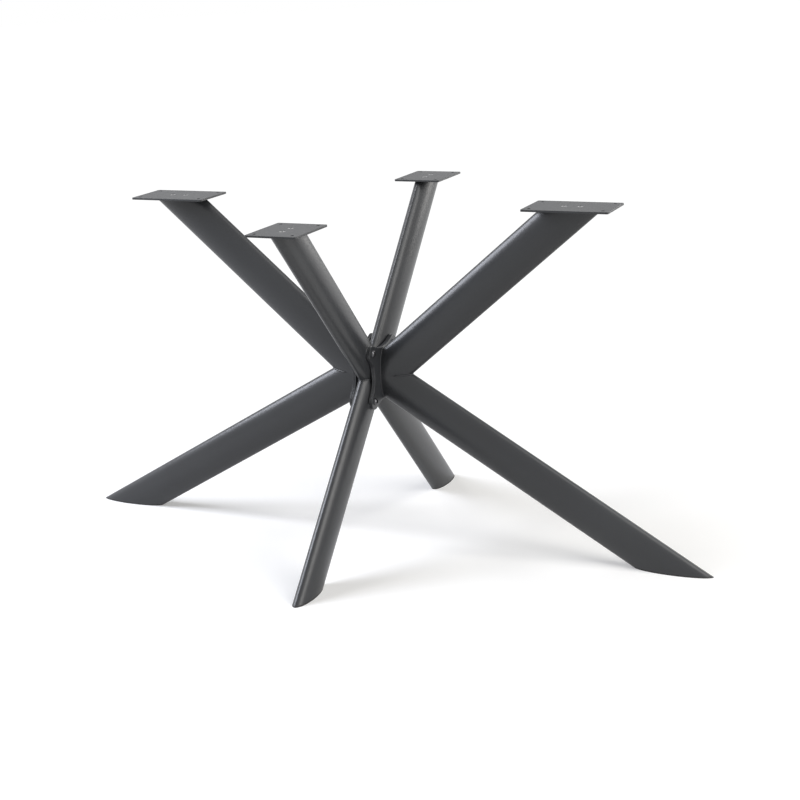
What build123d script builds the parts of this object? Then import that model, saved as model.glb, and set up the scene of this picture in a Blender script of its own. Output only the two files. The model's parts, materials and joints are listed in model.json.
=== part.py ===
from build123d import *
import os

# Spider table frame. Four sides of two oval steel tubes each meet half way up. The front and back
# sides are welded to one another. The left and right sides are bolted to them by lobed plates.
# The frame stands on the floor at z = 0 with its middle over the origin. X is the long way.

# Heights and reach of the tubes' centre lines, in millimetres
height = 720.0
joint_height = 358.0
long_foot_reach = 637.0
long_top_reach = 437.0
short_foot_reach = 337.0
short_top_reach = 321.0
short_elbow = 2.0
long_elbow_setback = 4.0

# Oval tube
tube_depth = 80.0
tube_width = 36.0
tube_wall = 2.5

# Top plates, with four holes for the table top's screws
plate_thickness = 4.0
plate_width = 105.0
long_plate_length = 172.0
short_plate_length = 126.0
plate_corner = 4.0
plate_hole = 7.0
plate_hole_inset = 13.5
plate_edge_round = 0.6

# Threaded end cap inside each arm
cap_thickness = 8.0
cap_gap = 0.2

# Countersunk screws that hold a top plate to its arm
screw_diameter = 6.0
screw_length = 16.0
screw_head = 12.0
screw_pitch = 32.0
screw_hole = 6.6
screw_socket = 4.0
screw_socket_depth = 2.2
screw_sink = 0.3
sink_land = 0.5

# Lobed plates at the joint
core_plate_thickness = 4.0
joint_plate_thickness = 4.0
lobe_radius = 16.0
bolt_span = 96.0
bolt_drop = 4.0
waist_inset = 5.0
weld_margin = 2.5
joint_plate_lift = 2.0
joint_edge_round = 0.6

# Button-head bolts and weld nuts of the joint
bolt_diameter = 8.0
bolt_length = 20.0
bolt_hole = 9.0
bolt_head = 14.0
bolt_head_height = 4.4
bolt_head_rim = 1.0
bolt_head_flat = 7.0
bolt_head_bulge = 0.5
bolt_socket = 5.0
bolt_socket_depth = 2.6
nut_across_flats = 13.0
nut_height = 6.5
nut_room = 17.0
thread_gap = 0.1
thread_end = 1.0

# Foot caps
foot_flange = 3.0
foot_plug_height = 16.0
foot_plug_wall = 2.0
foot_plug_gap = 0.3

# Sizes that follow from the ones above
arm_end = height - plate_thickness
joint_face = tube_width / 2 + core_plate_thickness + joint_plate_thickness
long_elbow = joint_face - long_elbow_setback
overshoot = 2 * tube_depth
cutter_start = 1.0

sides = {"right": 0, "back": 90, "left": 180, "front": 270}
long_sides = ("right", "left")


def side_points(side):
    """Elbow, top and foot of one side's centre lines, with the side pointing along +X."""
    if side in long_sides:
        elbow, top, foot = long_elbow, long_top_reach, long_foot_reach
    else:
        elbow, top, foot = short_elbow, short_top_reach, short_foot_reach
    return Vector(elbow, 0, joint_height), Vector(top, 0, arm_end), Vector(foot, 0, 0)


def oval_bar(start, end, depth, width):
    """A solid oval bar along start to end, deep side upright, longer than the run at both ends."""
    along = (end - start).normalized()
    section = Plane(origin=start - along * overshoot, x_dir=(0, 1, 0), z_dir=along)
    length = (end - start).length + 2 * overshoot
    return extrude(section * Ellipse(width / 2, depth / 2), amount=length)


def oval_tube(start, end):
    outer = oval_bar(start, end, tube_depth, tube_width)
    return outer - oval_bar(start, end, tube_depth - 2 * tube_wall, tube_width - 2 * tube_wall)


def joint_plane(side):
    """Distance from the middle of the frame to where this side's tubes begin."""
    return joint_face if side in long_sides else 0


def keep_over(solid, origin, normal):
    """The part of a solid on the side of a plane that its normal points to."""
    return split(solid, bisect_by=Plane(origin=origin, z_dir=normal), keep=Keep.TOP)


def keep_slab(solid, low, high):
    return keep_over(keep_over(solid, (0, 0, low), (0, 0, 1)), (0, 0, high), (0, 0, -1))


def place(side, solid):
    return Rot(0, 0, sides[side]) * solid


def face_heights():
    """Highest and lowest point of the long side's tubes on the face of the joint plate."""
    elbow, top, foot = side_points("right")
    heights = []
    for end in (top, foot):
        run = end - elbow
        centre = elbow.Z + long_elbow_setback * run.Z / run.X
        heights.append((centre, tube_depth / 2 * run.length / run.X))
    return heights[0][0] + heights[0][1], heights[1][0] - heights[1][1]


face_top, face_bottom = face_heights()
joint_mid = (face_top + face_bottom) / 2 + joint_plate_lift
joint_half_height = (face_top - face_bottom) / 2 + weld_margin
bolt_rise = joint_half_height - bolt_drop
waist_half_width = bolt_span / 2 - waist_inset
bolt_places = [(y, z) for y in (-bolt_span / 2, bolt_span / 2) for z in (-bolt_rise, bolt_rise)]


def mitred_tube(side, upward):
    """The upper or lower tube of a side, cut where it meets its partner and the middle of the frame."""
    elbow, top, foot = side_points(side)
    normal = (top - elbow).normalized() - (foot - elbow).normalized()
    tube = oval_tube(elbow, top if upward else foot)
    tube = keep_over(tube, elbow, normal if upward else -normal)
    tube = keep_over(tube, (joint_plane(side), 0, 0), (1, 0, 0))
    if side not in long_sides:
        tube -= nut_openings(joint_mid + (bolt_rise if upward else -bolt_rise))
    return tube


def arm(side):
    return place(side, keep_over(mitred_tube(side, True), (0, 0, arm_end), (0, 0, -1)))


def leg(side):
    return place(side, keep_over(mitred_tube(side, False), (0, 0, foot_flange), (0, 0, 1)))


def nut_openings(z):
    """Room for the weld nuts in both flat sides of a short side's tube."""
    return Pos(bolt_span / 2, 0, z) * Rot(90, 0, 0) * Cylinder(nut_room / 2, 2 * tube_width)


def screw_places():
    return [(-screw_pitch / 2, 0), (screw_pitch / 2, 0)]


def top_plate(side):
    length = long_plate_length if side in long_sides else short_plate_length
    outline = RectangleRounded(length, plate_width, plate_corner)
    hole_grid = GridLocations(length - 2 * plate_hole_inset, plate_width - 2 * plate_hole_inset, 2, 2)
    outline -= hole_grid * Circle(plate_hole / 2)
    plate = extrude(outline, amount=plate_thickness)
    rims = plate.faces().filter_by(Axis.Z).sort_by(Axis.Z)
    edges = rims[0].outer_wire().edges() + rims[-1].outer_wire().edges()
    plate = fillet(edges, plate_edge_round)
    for x, y in screw_places():
        plate -= Pos(x, y, 0) * Cylinder(screw_hole / 2, 4 * plate_thickness)
        plate -= Pos(x, y, plate_thickness) * sink_cone()
    reach = side_points(side)[1].X
    return place(side, Pos(reach, 0, arm_end) * plate)


def sink_cone():
    """The room of a countersunk head below z = 0, with a short straight land on top."""
    wide = screw_head / 2 + screw_sink
    depth = wide - screw_hole / 2
    profile = Polyline((0, cutter_start), (wide, cutter_start), (wide, -sink_land),
                       (wide - depth, -sink_land - depth), (0, -sink_land - depth), close=True)
    return revolve(Plane.XZ * make_face(profile), axis=Axis.Z)


def countersunk_screw():
    """A countersunk screw that points down from z = 0, with a hexagon socket."""
    head, shank = screw_head / 2, screw_diameter / 2
    cone_bottom = -sink_land - (head - shank)
    profile = Polyline((0, -screw_sink), (head, -screw_sink), (head, -sink_land), (shank, cone_bottom),
                       (shank, thread_end - screw_length), (shank - thread_end, -screw_length),
                       (0, -screw_length), close=True)
    screw = revolve(Plane.XZ * make_face(profile), axis=Axis.Z)
    return screw - hex_socket(screw_socket, screw_socket_depth, -screw_sink)


def hex_prism(across_flats, depth):
    """A hexagon bar from z = 0 downwards."""
    return extrude(RegularPolygon(across_flats / 2, 6, major_radius=False), amount=-depth)


def hex_socket(across_flats, depth, top):
    """Cutter for a socket of the given depth below z = top."""
    return Pos(0, 0, top + cutter_start) * hex_prism(across_flats, depth + cutter_start)


def plate_screws(side):
    reach = side_points(side)[1].X
    screw = countersunk_screw()
    return place(side, Compound([Pos(reach + x, y, height) * screw for x, y in screw_places()]))


def arm_cap(side):
    """A thick threaded plate, cut to the slanted bore of the arm and flush with its end."""
    elbow, top, foot = side_points(side)
    less = 2 * (tube_wall + cap_gap)
    cap = keep_slab(oval_bar(elbow, top, tube_depth - less, tube_width - less), arm_end - cap_thickness, arm_end)
    for x, y in screw_places():
        cap -= Pos(top.X + x, y, arm_end) * Cylinder(screw_diameter / 2 + thread_gap, 4 * cap_thickness)
    return place(side, cap)


def hollow_end(across, along, mid):
    """Where the hollow arc through (0, mid) touches the lobe about (across, along)."""
    step = mid - along
    radius = (across ** 2 + step ** 2 - lobe_radius ** 2) / (2 * (lobe_radius - step))
    share = lobe_radius / (radius + lobe_radius)
    return across * (1 - share), along + (mid + radius - along) * share


def lobed_outline():
    """Four round lobes about the bolts, joined by hollow arcs that run smoothly into them."""
    lobe = Vector(bolt_span / 2, bolt_rise)
    top_touch = Vector(*hollow_end(lobe.X, lobe.Y, joint_half_height))
    rise, reach = hollow_end(lobe.Y, lobe.X, waist_half_width)
    waist_touch = Vector(reach, rise)
    tip = lobe + Vector(1, 1).normalized() * lobe_radius
    lobe_arc = ThreePointArc(top_touch, tip, waist_touch)
    top_arc = ThreePointArc((-top_touch.X, top_touch.Y), (0, joint_half_height), top_touch)
    waist_arc = ThreePointArc(waist_touch, (waist_half_width, 0), (waist_touch.X, -waist_touch.Y))
    half = [lobe_arc, mirror(lobe_arc, Plane.XZ), waist_arc]
    edges = half + [mirror(edge, Plane.YZ) for edge in half] + [top_arc, mirror(top_arc, Plane.XZ)]
    return make_face(Curve() + edges)


def lobed_plate(near, thickness):
    """A lobed plate of the right side, whose faces stand at x = near and near + thickness."""
    plate = extrude(lobed_outline(), amount=thickness)
    rims = plate.faces().filter_by(Axis.Z)
    edges = [edge for rim in rims for edge in rim.outer_wire().edges()]
    plate = fillet(edges, joint_edge_round)
    for y, z in bolt_places:
        plate -= Pos(y, z, 0) * Cylinder(bolt_hole / 2, 4 * thickness)
    return Plane(origin=(near, 0, joint_mid), x_dir=(0, 1, 0), z_dir=(1, 0, 0)) * plate


def core_plate(side):
    return place(side, lobed_plate(tube_width / 2, core_plate_thickness))


def joint_plate(side):
    return place(side, lobed_plate(tube_width / 2 + core_plate_thickness, joint_plate_thickness))


def button_bolt():
    """A button-head bolt that points down from z = 0, with its domed head above."""
    head, shank, flat = bolt_head / 2, bolt_diameter / 2, bolt_head_flat / 2
    dome = SagittaArc((flat, bolt_head_height), (head, bolt_head_rim), bolt_head_bulge)
    rest = Polyline((head, bolt_head_rim), (head, 0), (shank, 0), (shank, thread_end - bolt_length),
                    (shank - thread_end, -bolt_length), (0, -bolt_length), (0, bolt_head_height),
                    (flat, bolt_head_height))
    bolt = revolve(Plane.XZ * make_face(Curve() + [dome, *rest.edges()]), axis=Axis.Z)
    return bolt - hex_socket(bolt_socket, bolt_socket_depth, bolt_head_height)


def at_bolts(near, solid):
    """Copies of a fastener at the four bolts of the right side, pointing inwards from x = near."""
    return Compound([
        Plane(origin=(near, y, joint_mid + z), x_dir=(0, 1, 0), z_dir=(1, 0, 0)) * solid
        for y, z in bolt_places
    ])


def joint_bolts(side):
    return place(side, at_bolts(joint_face, button_bolt()))


def joint_nuts(side):
    nut = hex_prism(nut_across_flats, nut_height) - Cylinder(bolt_diameter / 2 + thread_gap, 4 * nut_height)
    return place(side, at_bolts(tube_width / 2, nut))


def foot_cap(side):
    """A flange with the tube's own slanted outline, and an open plug that goes up inside the tube."""
    elbow, top, foot = side_points(side)
    flange = keep_slab(oval_bar(elbow, foot, tube_depth, tube_width), 0, foot_flange)
    outer = 2 * (tube_wall + foot_plug_gap)
    inner = outer + 2 * foot_plug_wall
    plug = oval_bar(elbow, foot, tube_depth - outer, tube_width - outer)
    plug -= oval_bar(elbow, foot, tube_depth - inner, tube_width - inner)
    plug = keep_slab(plug, foot_flange, foot_flange + foot_plug_height)
    return place(side, flange + plug)


makers = {
    "arm": arm,
    "leg": leg,
    "top_plate": top_plate,
    "plate_screws": plate_screws,
    "arm_cap": arm_cap,
    "foot_cap": foot_cap,
}
joint_makers = {
    "core_plate": core_plate,
    "joint_plate": joint_plate,
    "joint_bolts": joint_bolts,
    "joint_nuts": joint_nuts,
}

os.makedirs("parts", exist_ok=True)
for side in sides:
    pieces = {**makers, **joint_makers} if side in long_sides else makers
    for name, maker in pieces.items():
        export_step(maker(side), f"parts/{name}_{side}.step")
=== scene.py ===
# %% [markdown]
# # A spider table frame in satin powder coat
#
# The object is the steel frame of a dining table. Four sides, each an arm and a leg of oval tube,
# meet half way up in a bolted joint, and each arm carries a flat plate for the table top.
# The CAD model already holds the tubes, plates, screws and feet in their real places and sizes.
# What is left for this script is what CAD leaves out: the camera, the light, the finishes and the
# small welds. The imported model comes in first.

import json
import math

import bmesh
import bpy
from mathutils import Matrix, Vector


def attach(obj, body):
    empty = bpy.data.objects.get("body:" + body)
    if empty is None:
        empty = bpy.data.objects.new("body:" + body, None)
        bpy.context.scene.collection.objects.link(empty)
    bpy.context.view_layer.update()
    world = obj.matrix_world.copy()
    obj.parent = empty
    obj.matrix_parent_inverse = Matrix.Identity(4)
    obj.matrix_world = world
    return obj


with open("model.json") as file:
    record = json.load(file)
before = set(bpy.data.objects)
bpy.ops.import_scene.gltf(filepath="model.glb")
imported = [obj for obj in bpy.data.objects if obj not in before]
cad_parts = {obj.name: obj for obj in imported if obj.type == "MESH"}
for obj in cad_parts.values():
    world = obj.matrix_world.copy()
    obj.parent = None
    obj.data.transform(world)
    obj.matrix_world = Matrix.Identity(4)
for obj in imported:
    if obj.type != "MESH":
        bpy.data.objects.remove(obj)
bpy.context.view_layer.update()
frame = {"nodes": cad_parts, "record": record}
nodes = frame["nodes"]

# %% [markdown]
# ## The camera
#
# The photograph was taken a little above the top plates, from the front right, with a long lens.
# A long lens keeps the tubes' edges nearly parallel, so the lens and the distance matter as much as
# the direction. The camera's three axes are worked out from its angles, which also gives room for
# the slight tilt of the picture.

# %% Place the camera
CAMERA_PLACE = Vector((1.3108, -2.6294, 1.1986))
CAMERA_AZIMUTH = math.radians(25.46)
CAMERA_ELEVATION = math.radians(17.05)
CAMERA_ROLL = math.radians(-2.78)
LENS_MM = 66.2
VIEW_LIMIT = 100


def camera_matrix():
    """The camera's place and its right, up and backward axes, from its three angles."""
    flat = math.cos(CAMERA_ELEVATION)
    ahead = Vector((-math.sin(CAMERA_AZIMUTH) * flat, math.cos(CAMERA_AZIMUTH) * flat,
                    -math.sin(CAMERA_ELEVATION)))
    level = Vector((math.cos(CAMERA_AZIMUTH), math.sin(CAMERA_AZIMUTH), 0))
    turn = Matrix.Rotation(-CAMERA_ROLL, 3, ahead)
    across, upward = turn @ level, turn @ level.cross(ahead)
    matrix = Matrix((across, upward, -ahead)).transposed().to_4x4()
    matrix.translation = CAMERA_PLACE
    return matrix


camera = bpy.data.objects.new("camera", bpy.data.cameras.new("camera"))
camera.data.lens = LENS_MM
camera.data.clip_end = VIEW_LIMIT
camera.matrix_world = camera_matrix()
bpy.context.collection.objects.link(camera)
bpy.context.scene.camera = camera
bpy.context.scene.view_settings.view_transform = "Standard"
print("camera", LENS_MM, "mm at", tuple(round(v, 3) for v in CAMERA_PLACE))

# %% [markdown]
# ## Shader helpers
#
# Every finish below is a small node graph, so a few helpers keep the graphs readable: one adds a
# node and sets its inputs, and one reads noise in the object's own coordinates. Object coordinates
# are metres here, so a noise scale of 1000 gives grains of about a millimetre.

# %% Node helpers
def add_node(tree, kind, **inputs):
    """A new node of that kind, with some inputs set. A value that is a socket is linked."""
    node = tree.nodes.new(kind)
    for name, value in inputs.items():
        socket = node.inputs[int(name[1:]) if name[0] == "_" else name.replace("_", " ")]
        if isinstance(value, bpy.types.NodeSocket):
            tree.links.new(value, socket)
        else:
            socket.default_value = value
    return node


def new_material(name):
    material = bpy.data.materials.new(name)
    material.use_nodes = True
    tree = material.node_tree
    tree.nodes.clear()
    return material, tree


def noise(tree, scale, detail=2.0):
    """Grey noise in object coordinates, with that many cells a metre."""
    place = add_node(tree, "ShaderNodeTexCoord").outputs["Object"]
    node = add_node(tree, "ShaderNodeTexNoise", Vector=place, Scale=scale, Detail=detail)
    return node.outputs["Fac"]


def spread(tree, value, low, high, to_low=0.0, to_high=1.0):
    """Maps low..high of a value to to_low..to_high, and clamps it there."""
    return add_node(tree, "ShaderNodeMapRange", Value=value, From_Min=low, From_Max=high,
                    To_Min=to_low, To_Max=to_high).outputs["Result"]


def add_values(tree, first, second, weight):
    """first + second * weight."""
    node = add_node(tree, "ShaderNodeMath", _0=second, _1=weight, _2=first)
    node.operation = "MULTIPLY_ADD"
    return node.outputs[0]


def blend_colours(tree, factor, dark, light):
    """From dark to light. Inputs 6 and 7 and output 2 are the Mix node's colour sockets."""
    mix = tree.nodes.new("ShaderNodeMix")
    mix.data_type = "RGBA"
    tree.links.new(factor, mix.inputs["Factor"])
    mix.inputs[6].default_value = (*dark, 1.0)
    mix.inputs[7].default_value = (*light, 1.0)
    return mix.outputs[2]


def finish_surface(tree, colour, roughness, height, distance, strength, **fixed):
    """A principled surface: linked colour, roughness and bump, and fixed inputs on its own sockets."""
    bump = add_node(tree, "ShaderNodeBump", Height=height, Distance=distance, Strength=strength)
    shader = add_node(tree, "ShaderNodeBsdfPrincipled", Base_Color=colour, Roughness=roughness,
                      Normal=bump.outputs["Normal"], **fixed)
    output = tree.nodes.new("ShaderNodeOutputMaterial")
    tree.links.new(shader.outputs["BSDF"], output.inputs["Surface"])


print("helpers ready")

# %% [markdown]
# ## Powder coat
#
# The whole frame is sprayed with one satin anthracite powder. The powder melts into a skin that
# isn't quite flat: it has a soft orange peel a few millimetres across and a finer grain, and both
# break up the edges of its reflections. A clear gloss layer isn't needed, since the highlight of
# the coat itself is broad and dull. Colour varies only a little, as the skin is thicker here and
# thinner there. The top plates get the same powder in a drier, rougher skin: they lie flat at the end
# of the spray and vanish under the table top, so nobody goes over them twice.

# %% Powder coat
PEEL_CELLS, GRAIN_CELLS, CLOUD_CELLS = 170.0, 1100.0, 3.2
GRAIN_DETAIL, CLOUD_DETAIL = 3.0, 4.0
COAT_DARK, COAT_LIGHT = (0.033, 0.0345, 0.0375), (0.043, 0.045, 0.0485)
SATIN, DRY = (0.28, 0.36), (0.4, 0.5)
GRAIN_IN_TONE, PEEL_IN_GLOSS, GRAIN_IN_RELIEF = 0.35, 0.6, 0.3
TONE_RANGE, GLOSS_RANGE = (0.45, 0.95), (0.5, 1.1)
COAT_RELIEF, COAT_BUMP, COAT_IOR = 0.00012, 0.4, 1.46


def powder_coat(name, low, high):
    """Anthracite powder with its roughness between low and high."""
    material, tree = new_material(name)
    peel = noise(tree, PEEL_CELLS)
    grain = noise(tree, GRAIN_CELLS, GRAIN_DETAIL)
    cloud = noise(tree, CLOUD_CELLS, CLOUD_DETAIL)
    tone = spread(tree, add_values(tree, cloud, grain, GRAIN_IN_TONE), *TONE_RANGE)
    colour = blend_colours(tree, tone, COAT_DARK, COAT_LIGHT)
    gloss = add_values(tree, cloud, peel, PEEL_IN_GLOSS)
    roughness = spread(tree, gloss, *GLOSS_RANGE, low, high)
    relief = add_values(tree, peel, grain, GRAIN_IN_RELIEF)
    finish_surface(tree, colour, roughness, relief, COAT_RELIEF, COAT_BUMP, IOR=COAT_IOR)
    return material


finishes = {"coated_steel": powder_coat("powder_coat", *SATIN)}
dry_coat = powder_coat("dry_powder_coat", *DRY)
print("powder coats ready")

# %% [markdown]
# ## Fasteners, nuts and feet
#
# The frame's small parts have their own finishes. The button bolts of the joint are black oxide
# steel, a dark metal that still glints at its edges. The countersunk screws in the top plates are
# dark zinc, and the weld nuts, which hide inside the tubes, are bright zinc. All three are metals
# with the same make-up, a cloudy plating with fine turning marks, so one function makes them from
# their colours and roughness. The feet end in black moulded plastic with a fine spark-eroded grain.

# %% Metals and plastic
# slot: name, darker colour, lighter colour, lowest and highest roughness
METALS = {
    "joint_bolt_steel": ("black_oxide", (0.07, 0.07, 0.074), (0.12, 0.12, 0.125), 0.22, 0.36),
    "plate_screw_steel": ("dark_zinc", (0.27, 0.27, 0.28), (0.44, 0.44, 0.45), 0.14, 0.26),
    "weld_nut_steel": ("bright_zinc", (0.40, 0.40, 0.41), (0.50, 0.50, 0.51), 0.3, 0.45),
}
PLATING_CELLS, TURNING_CELLS, MOULD_CELLS = 240.0, 2400.0, 1500.0
METAL_RELIEF, METAL_BUMP = 0.00003, 0.5
PLASTIC_DARK, PLASTIC_LIGHT = (0.017, 0.017, 0.018), (0.024, 0.024, 0.025)
PLASTIC_ROUGHNESS = 0.5, 0.62
PLASTIC_RELIEF, PLASTIC_BUMP, PLASTIC_IOR = 0.00008, 0.6, 1.48
MIDDLE_RANGE = 0.3, 0.7


def plated_metal(name, dark, light, low, high):
    """Plated steel between two colours, with its roughness between low and high."""
    material, tree = new_material(name)
    cloud = noise(tree, PLATING_CELLS, CLOUD_DETAIL)
    fine = noise(tree, TURNING_CELLS)
    colour = blend_colours(tree, cloud, dark, light)
    roughness = spread(tree, cloud, *MIDDLE_RANGE, low, high)
    finish_surface(tree, colour, roughness, fine, METAL_RELIEF, METAL_BUMP, Metallic=1.0)
    return material


def moulded_plastic():
    material, tree = new_material("moulded_plastic")
    grain = noise(tree, MOULD_CELLS, GRAIN_DETAIL)
    colour = blend_colours(tree, grain, PLASTIC_DARK, PLASTIC_LIGHT)
    roughness = spread(tree, grain, *MIDDLE_RANGE, *PLASTIC_ROUGHNESS)
    finish_surface(tree, colour, roughness, grain, PLASTIC_RELIEF, PLASTIC_BUMP, IOR=PLASTIC_IOR)
    return material


for slot, values in METALS.items():
    finishes[slot] = plated_metal(*values)
finishes["foot_plastic"] = moulded_plastic()
print("finishes:", sorted(finishes))

# %% [markdown]
# ## Give each CAD piece its finish
#
# The record already names a material slot for every piece of the CAD model. The finishes above are
# kept under the same names, so each piece looks its own up, and the looks can't drift from the record.
# Only the top plates differ a little, with the drier coat.

# %% Dress the CAD pieces
slots = {row["node"]: row["material_slot"] for row in frame["record"]["subparts"]}
for name, node in nodes.items():
    node.data.materials.clear()
    node.data.materials.append(dry_coat if name.startswith("top_plate") else finishes[slots[name]])
print("dressed", len(nodes), "pieces")

# %% [markdown]
# ## Welds
#
# The tubes are mitred, welded all round and ground flush on their flat sides. Where a grinder
# doesn't reach, a small bead stays: in the crotch between arm and leg, round the ends of the long
# tubes on their joint plates, and at the tips of the lobed core plates. The seams between tubes are
# parts of ellipses, because a plane cuts an oval tube in an ellipse, so their sizes follow from the
# tube's and need no measuring.

# %% Sizes of the joint, in metres
TUBE_HALF_DEPTH, TUBE_HALF_WIDTH = 0.040, 0.018
JOINT_HEIGHT = 0.358
ARM_TOP = 0.716
LONG_ELBOW, LONG_TOP, LONG_FOOT = 0.022, 0.437, 0.637
SHORT_ELBOW, SHORT_TOP, SHORT_FOOT = 0.002, 0.321, 0.337
JOINT_FACE = 0.026
CORE_FACE = 0.018
BOLT_PLACES = ((-0.048, 0.4148), (0.048, 0.4148), (-0.048, 0.3129), (0.048, 0.3129))
LOBE_RADIUS = 0.016
SIDE_TURNS = {"right": 0, "back": 90, "left": 180, "front": 270}


def tube_run(elbow, reach, height):
    """Horizontal and vertical run of a tube, and its length, from the elbow to its end."""
    across, up = reach - elbow, height - JOINT_HEIGHT
    return across, up, math.hypot(across, up)


def crotch_seam(elbow, top, foot):
    """Middle, half length and direction of the seam between arm and leg of a side along +X."""
    arm_across, arm_up, arm_length = tube_run(elbow, top, ARM_TOP)
    leg_across, leg_up, leg_length = tube_run(elbow, foot, 0)
    arm = Vector((arm_across, 0, arm_up)) / arm_length
    leg = Vector((leg_across, 0, leg_up)) / leg_length
    outward = (arm + leg).normalized()
    return Vector((elbow, 0, JOINT_HEIGHT)), TUBE_HALF_DEPTH / math.sin(arm.angle(outward)), outward


LONG_SIDE = LONG_ELBOW, LONG_TOP, LONG_FOOT
SHORT_SIDE = SHORT_ELBOW, SHORT_TOP, SHORT_FOOT
for name, sizes in (("long", LONG_SIDE), ("short", SHORT_SIDE)):
    print(name, "sides: crotch", round(crotch_seam(*sizes)[1] * 1000, 1), "mm out from the elbow")

# %% [markdown]
# ## How a bead is made
#
# A real bead is a row of small overlapping puddles, which shows as a faint ripple under the powder.
# Here it is a row of circles along its seam, bridged one to the next. A curve with a round bevel would
# be quicker, but the circles let every step have its own radius, for the ripple and for ends that run
# out to nothing.

# %% Bead helpers
BEAD_STEP = 0.0007
RIPPLE_PITCH, RIPPLE_DEPTH = 0.0028, 0.05
BEAD_SEGMENTS = 10
RUN_OUT, TIP_SHARE = 0.006, 0.25


def even_steps(points, closed):
    """The same line, with its points BEAD_STEP apart."""
    line = points + points[:1] if closed else points
    steps, left = [line[0]], BEAD_STEP
    for start, end in zip(line, line[1:]):
        length, done = (end - start).length, 0.0
        while length - done >= left:
            done += left
            steps.append(start.lerp(end, done / length))
            left = BEAD_STEP
        left -= length - done
    return steps


def add_bead(bm, points, radius, closed=False):
    """A round, rippled bead along a line. An open bead runs out thin at both ends."""
    steps = even_steps(points, closed)
    count = len(steps)
    rings = []
    for i, point in enumerate(steps):
        before = steps[i - 1] if closed or i > 0 else point
        after = steps[(i + 1) % count] if closed or i < count - 1 else point
        to_end = min(min(i, count - 1 - i) * BEAD_STEP / RUN_OUT, 1.0)
        run_out = 1.0 if closed else TIP_SHARE + (1 - TIP_SHARE) * math.sin(math.pi / 2 * to_end)
        ripple = 1 + RIPPLE_DEPTH * math.cos(2 * math.pi * i * BEAD_STEP / RIPPLE_PITCH)
        turn = (after - before).to_track_quat("Z", "Y").to_matrix().to_4x4()
        ring = bmesh.ops.create_circle(bm, cap_ends=False, radius=radius * run_out * ripple,
                                       segments=BEAD_SEGMENTS, matrix=Matrix.Translation(point) @ turn)
        rings.append(list({edge for vert in ring["verts"] for edge in vert.link_edges}))
    neighbours = list(zip(rings, rings[1:] + rings[:1]))
    for one, two in neighbours if closed else neighbours[:-1]:
        bmesh.ops.bridge_loops(bm, edges=one + two)
    if not closed:
        bmesh.ops.edgeloop_fill(bm, edges=rings[0])
        bmesh.ops.edgeloop_fill(bm, edges=rings[-1])


def make_weld(name, bm, turn=0):
    """A piece from the beads in bm, turned about the frame's middle by that many degrees."""
    bmesh.ops.rotate(bm, verts=bm.verts, matrix=Matrix.Rotation(math.radians(turn), 3, "Z"))
    bmesh.ops.recalc_face_normals(bm, faces=bm.faces)
    for face in bm.faces:
        face.smooth = True
    mesh = bpy.data.meshes.new(name)
    bm.to_mesh(mesh)
    bm.free()
    mesh.materials.append(finishes["coated_steel"])
    piece = bpy.data.objects.new(name, mesh)
    bpy.context.collection.objects.link(piece)
    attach(piece, "root")
    print(name, len(mesh.polygons), "faces")


print("bead step", BEAD_STEP * 1000, "mm")

# %% [markdown]
# ## Crotch beads
#
# Arm and leg of a side are cut to the same slanting plane, which halves the angle between them. The
# seam in that plane is half an ellipse, as wide as the tube. Its middle part lies deep in the crotch
# and keeps its bead, and towards the flat sides the bead runs out where the grinder took over.

# %% Crotch beads
CROTCH_BEAD, CROTCH_REACH, SEAM_POINTS = 0.0018, 62, 60


def arc_angles(reach):
    """SEAM_POINTS angles in radians from -reach to +reach degrees."""
    return [math.radians(reach) * (2 * i / (SEAM_POINTS - 1) - 1) for i in range(SEAM_POINTS)]


for side, turn in SIDE_TURNS.items():
    elbow, reach, outward = crotch_seam(*(LONG_SIDE if side in ("left", "right") else SHORT_SIDE))
    seam = [elbow + outward * reach * math.cos(a) + Vector((0, TUBE_HALF_WIDTH * math.sin(a), 0))
            for a in arc_angles(CROTCH_REACH)]
    bm = bmesh.new()
    add_bead(bm, seam, CROTCH_BEAD)
    make_weld(f"crotch_weld_{side}", bm, turn)

# %% [markdown]
# ## Centre beads
#
# The front and back sides meet in the upright plane y = 0 and are welded to one another there. Above,
# between the two arms, and below, between the two legs, the seam again lies in a crotch and keeps
# its bead.

# %% Centre beads
def upright_section(elbow, reach, height, at):
    """Middle height and half height of the ellipse that an upright plane cuts from a tube."""
    across, up, length = tube_run(elbow, reach, height)
    return JOINT_HEIGHT + (at - elbow) * up / across, TUBE_HALF_DEPTH * length / across


bm = bmesh.new()
for way, (reach, height) in ((1, (SHORT_TOP, ARM_TOP)), (-1, (SHORT_FOOT, 0))):
    middle, half = upright_section(SHORT_ELBOW, reach, height, 0)
    add_bead(bm, [Vector((TUBE_HALF_WIDTH * math.sin(a), 0, middle + way * half * math.cos(a)))
                  for a in arc_angles(CROTCH_REACH)], CROTCH_BEAD)
make_weld("centre_weld", bm)

# %% [markdown]
# ## Beads on the joint plates
#
# The long sides' tubes end square on their joint plates, and a bead runs all the way round them. The
# outline is the arm's ellipse above and the leg's below. Behind each joint plate sits its twin, the
# core plate, which is welded to the centre tubes by a short bead round the tip of each lobe.

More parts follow.
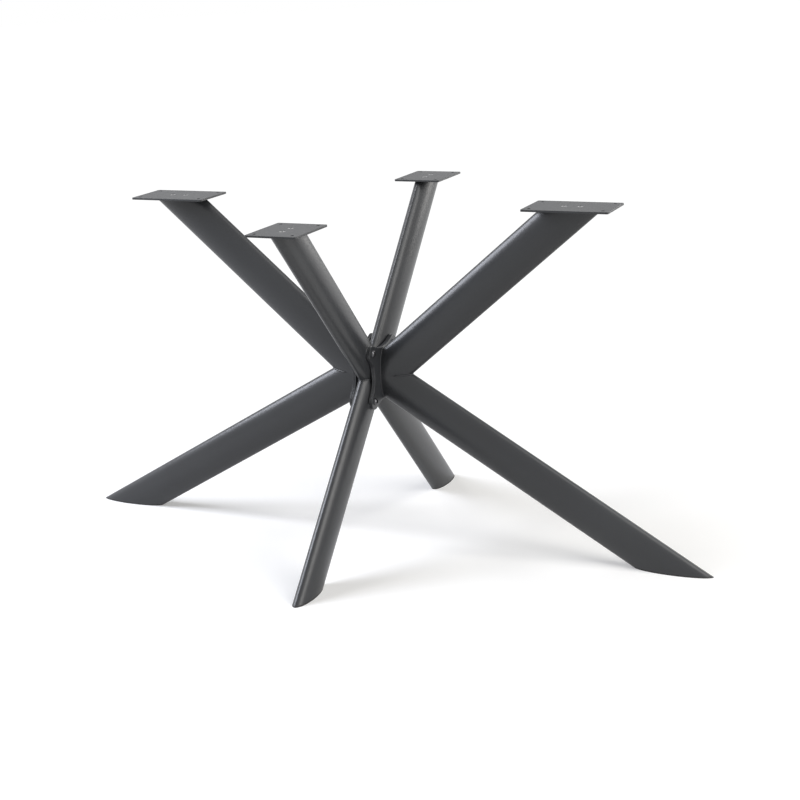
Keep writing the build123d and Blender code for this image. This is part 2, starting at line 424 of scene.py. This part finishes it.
# %% Joint beads
JOINT_BEAD, LOBE_BEAD, LOBE_REACH, LOBE_SINK = 0.0012, 0.0015, 48, 0.0004
OUTLINE_POINTS = 240
for side in ("left", "right"):
    outline = []
    for i in range(OUTLINE_POINTS):
        angle = 2 * math.pi * i / OUTLINE_POINTS
        reach, height = (LONG_TOP, ARM_TOP) if math.sin(angle) >= 0 else (LONG_FOOT, 0)
        middle, half = upright_section(LONG_ELBOW, reach, height, JOINT_FACE)
        outline.append(Vector((JOINT_FACE, TUBE_HALF_WIDTH * math.cos(angle),
                               middle + half * math.sin(angle))))
    bm = bmesh.new()
    add_bead(bm, outline, JOINT_BEAD, closed=True)
    make_weld(f"joint_weld_{side}", bm, SIDE_TURNS[side])

    bm = bmesh.new()
    for y, z in BOLT_PLACES:
        reach, height = (SHORT_TOP, ARM_TOP) if z > JOINT_HEIGHT else (SHORT_FOOT, 0)
        across, up, _ = tube_run(SHORT_ELBOW, reach, height)
        along = math.atan2(up, math.copysign(across, y))
        tip = [Vector((CORE_FACE - LOBE_SINK, y + LOBE_RADIUS * math.cos(along + a),
                       z + LOBE_RADIUS * math.sin(along + a))) for a in arc_angles(LOBE_REACH)]
        add_bead(bm, tip, LOBE_BEAD)
    make_weld(f"lobe_weld_{side}", bm, SIDE_TURNS[side])

# %% [markdown]
# ## Floor
#
# The frame stands on a plain white studio floor that runs on to the horizon. Close to the object the
# floor is a real lit surface, so it takes soft shadows. Further out it has to be pure white whatever
# the lamps do, so its own colour fades away and it glows by itself instead. The glow is only for the
# camera and for reflections: Light Path tells those rays apart, and the glow lights nothing. The
# fading colour also keeps the reflections in the satin paint from getting brighter than white paper.
# Near the frame the floor is very slightly warm, which balances the cool lamp and keeps the soft
# shadows grey.

# %% Floor
FLOOR_RADIUS, FLOOR_SEGMENTS = 30.0, 64
NEAR_COLOUR, FAR_COLOUR = (0.824, 0.82, 0.806), (0.2, 0.2, 0.2)
FLOOR_GLOW = 0.25
FADE_START, FADE_END = 0.6, 1.6


def seen_directly(tree):
    """1 for rays from the camera, and for reflections and what glass shows, else 0."""
    path = tree.nodes.new("ShaderNodeLightPath").outputs
    two = add_node(tree, "ShaderNodeMath", _0=path["Is Camera Ray"], _1=path["Is Glossy Ray"])
    three = add_node(tree, "ShaderNodeMath", _0=two.outputs[0], _1=path["Is Transmission Ray"])
    three.use_clamp = True
    return three.outputs[0]


def floor_material():
    material, tree = new_material("studio_floor")
    place = add_node(tree, "ShaderNodeTexCoord")
    distance = add_node(tree, "ShaderNodeVectorMath", _0=place.outputs["Object"])
    distance.operation = "LENGTH"
    away = distance.outputs["Value"]
    strength = spread(tree, away, FADE_START, FADE_END, FLOOR_GLOW, 1.0)
    glow = add_node(tree, "ShaderNodeMath", _0=strength, _1=seen_directly(tree))
    glow.operation = "MULTIPLY"
    colour = blend_colours(tree, spread(tree, away, FADE_START, FADE_END), NEAR_COLOUR, FAR_COLOUR)
    lit = add_node(tree, "ShaderNodeBsdfDiffuse", Color=colour)
    white = add_node(tree, "ShaderNodeEmission", Color=(1, 1, 1, 1), Strength=glow.outputs[0])
    both = add_node(tree, "ShaderNodeAddShader", _0=lit.outputs[0], _1=white.outputs[0])
    output = tree.nodes.new("ShaderNodeOutputMaterial")
    tree.links.new(both.outputs[0], output.inputs["Surface"])
    return material


def make_floor():
    mesh = bpy.data.meshes.new("floor")
    bm = bmesh.new()
    bmesh.ops.create_circle(bm, cap_ends=True, radius=FLOOR_RADIUS, segments=FLOOR_SEGMENTS)
    bm.to_mesh(mesh)
    bm.free()
    mesh.materials.append(floor_material())
    floor = bpy.data.objects.new("floor", mesh)
    bpy.context.collection.objects.link(floor)


make_floor()
print("floor", 2 * FLOOR_RADIUS, "m across")

# %% [markdown]
# ## Light
#
# Satin paint shows its shape by what it reflects, so the lamps are broad boxes that draw long soft
# bands down the tubes. A cool box on the left gives the bright upper edges, and a wider, warmer one on
# the right lights the other side of the front and back tubes. A weak box high on the right and a low
# one behind lift the plates and the back tubes, and one small key lamp gives the shadows on the floor
# their direction. The world adds a low even light, and shows white to the camera and in reflections,
# as the floor does.

# %% Lamps and world
COOL, NEUTRAL, WARM = (0.87, 0.90, 1.0), (1.0, 1.0, 1.0), (1.0, 0.98, 0.95)
# name: azimuth from +X and elevation in degrees, distance and width in metres, watts, colour
LAMPS = {
    "key": (192, 56, 2.6, 0.45, 8, NEUTRAL),
    "left_box": (198, 31, 2.7, 1.35, 70, COOL),
    "right_box": (352, 27, 3.0, 1.9, 48, WARM),
    "top_box": (355, 58, 2.6, 1.4, 15, NEUTRAL),
    "back_box": (62, 12, 2.6, 0.9, 12, WARM),
}
WORLD_LEVEL = 0.13
AIM = Vector((0, 0, 0.36))


def box_lamp(name, azimuth, elevation, distance, width, watts, colour):
    """A square soft box that faces the middle of the frame."""
    azimuth, elevation = math.radians(azimuth), math.radians(elevation)
    flat = math.cos(elevation)
    away = Vector((flat * math.cos(azimuth), flat * math.sin(azimuth), math.sin(elevation)))
    data = bpy.data.lights.new(name, "AREA")
    data.size, data.energy, data.color = width, watts, colour
    lamp = bpy.data.objects.new(name, data)
    lamp.location = AIM + away * distance
    lamp.rotation_euler = away.to_track_quat("Z", "Y").to_euler()
    lamp.visible_camera = False
    bpy.context.collection.objects.link(lamp)


for name, values in LAMPS.items():
    box_lamp(name, *values)

world = bpy.data.worlds.new("studio")
bpy.context.scene.world = world
world.use_nodes = True
tree = world.node_tree
tree.nodes.clear()
level = spread(tree, seen_directly(tree), 0.0, 1.0, WORLD_LEVEL, 1.0)
back = add_node(tree, "ShaderNodeBackground", Color=(1, 1, 1, 1), Strength=level)
output = tree.nodes.new("ShaderNodeOutputWorld")
tree.links.new(back.outputs[0], output.inputs["Surface"])
print("lamps:", ", ".join(LAMPS))
